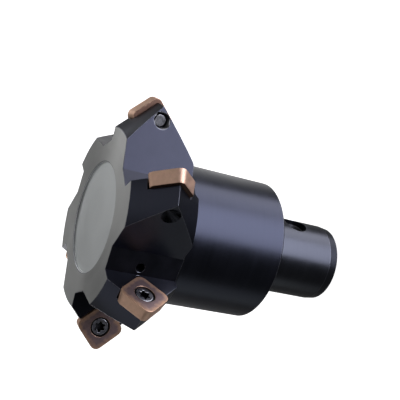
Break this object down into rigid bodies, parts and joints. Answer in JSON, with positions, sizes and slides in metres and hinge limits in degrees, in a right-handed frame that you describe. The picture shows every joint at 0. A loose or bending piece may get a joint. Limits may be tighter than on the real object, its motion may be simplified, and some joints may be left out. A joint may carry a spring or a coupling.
{
  "type": "milling head",
  "caption": "Modular 90 degree V milling head: steel body on a cross-bored pilot, square inserts set on their corners, each held by a countersunk screw.",
  "frame": {"origin": "centre of the shoulder face, on the axis, where the pilot begins", "axes": "+Z along the axis to the cutting end; +X along the pilot's cross bore, towards the drive pin's socket end"},
  "size_m": [0.0864, 0.0888, 0.0925],
  "materials": {
    "body_steel": "black oxide over turned and milled steel, front face ground bare",
    "pin_steel": "ground",
    "coated_carbide": "copper-bronze coated carbide",
    "screw_steel": "dark tempered steel"
  },
  "bodies": {
    "cutter": {"cutter_body": "body_steel"},
    "drive_pin": {"drive_pin": "pin_steel"},
    "insert_1": {"insert_1": "coated_carbide"},
    "screw_1": {"insert_screw_1": "screw_steel"},
    "insert_2": {"insert_2": "coated_carbide"},
    "screw_2": {"insert_screw_2": "screw_steel"},
    "insert_3": {"insert_3": "coated_carbide"},
    "screw_3": {"insert_screw_3": "screw_steel"},
    "insert_4": {"insert_4": "coated_carbide"},
    "screw_4": {"insert_screw_4": "screw_steel"},
    "insert_5": {"insert_5": "coated_carbide"},
    "screw_5": {"insert_screw_5": "screw_steel"},
    "insert_6": {"insert_6": "coated_carbide"},
    "screw_6": {"insert_screw_6": "screw_steel"}
  },
  "joints": [
    {"name": "drive_pin_float", "type": "slide", "parent": "cutter", "child": "drive_pin", "axis": [1, 0, 0], "range_m": [-0.0015, 0.0015]},
    {"name": "insert_1_lift", "type": "slide", "parent": "cutter", "child": "insert_1", "axis": [-0.3256, 0.9455, 0], "range_m": [0, 0.0064]},
    {"name": "screw_1_turn", "type": "hinge", "parent": "insert_1", "child": "screw_1", "pos_m": [0.03471, 0.01301, 0.05], "axis": [-0.3256, 0.9455, 0], "range_deg": [0, 2880]},
    {"name": "insert_2_lift", "type": "slide", "parent": "cutter", "child": "insert_2", "axis": [-0.9816, 0.1908, 0], "range_m": [0, 0.0064]},
    {"name": "screw_2_turn", "type": "hinge", "parent": "insert_2", "child": "screw_2", "pos_m": [0.00609, 0.03657, 0.05], "axis": [-0.9816, 0.1908, 0], "range_deg": [0, 2880]},
    {"name": "insert_3_lift", "type": "slide", "parent": "cutter", "child": "insert_3", "axis": [-0.6561, -0.7547, 0], "range_m": [0, 0.0064]},
    {"name": "screw_3_turn", "type": "hinge", "parent": "insert_3", "child": "screw_3", "pos_m": [-0.02862, 0.02356, 0.05], "axis": [-0.6561, -0.7547, 0], "range_deg": [0, 2880]},
    {"name": "insert_4_lift", "type": "slide", "parent": "cutter", "child": "insert_4", "axis": [0.3256, -0.9455, 0], "range_m": [0, 0.0064]},
    {"name": "screw_4_turn", "type": "hinge", "parent": "insert_4", "child": "screw_4", "pos_m": [-0.03471, -0.01301, 0.05], "axis": [0.3256, -0.9455, 0], "range_deg": [0, 2880]},
    {"name": "insert_5_lift", "type": "slide", "parent": "cutter", "child": "insert_5", "axis": [0.9816, -0.1908, 0], "range_m": [0, 0.0064]},
    {"name": "screw_5_turn", "type": "hinge", "parent": "insert_5", "child": "screw_5", "pos_m": [-0.00609, -0.03657, 0.05], "axis": [0.9816, -0.1908, 0], "range_deg": [0, 2880]},
    {"name": "insert_6_lift", "type": "slide", "parent": "cutter", "child": "insert_6", "axis": [0.6561, 0.7547, 0], "range_m": [0, 0.0064]},
    {"name": "screw_6_turn", "type": "hinge", "parent": "insert_6", "child": "screw_6", "pos_m": [0.02862, -0.02356, 0.05], "axis": [0.6561, 0.7547, 0], "range_deg": [0, 2880]}
  ],
  "couplings": [
    {"joint": "screw_1_turn", "follows": "insert_1_lift", "rad_per_m": 7853.9},
    {"joint": "screw_2_turn", "follows": "insert_2_lift", "rad_per_m": 7853.9},
    {"joint": "screw_3_turn", "follows": "insert_3_lift", "rad_per_m": 7853.9},
    {"joint": "screw_4_turn", "follows": "insert_4_lift", "rad_per_m": 7853.9},
    {"joint": "screw_5_turn", "follows": "insert_5_lift", "rad_per_m": 7853.9},
    {"joint": "screw_6_turn", "follows": "insert_6_lift", "rad_per_m": 7853.9}
  ]
}
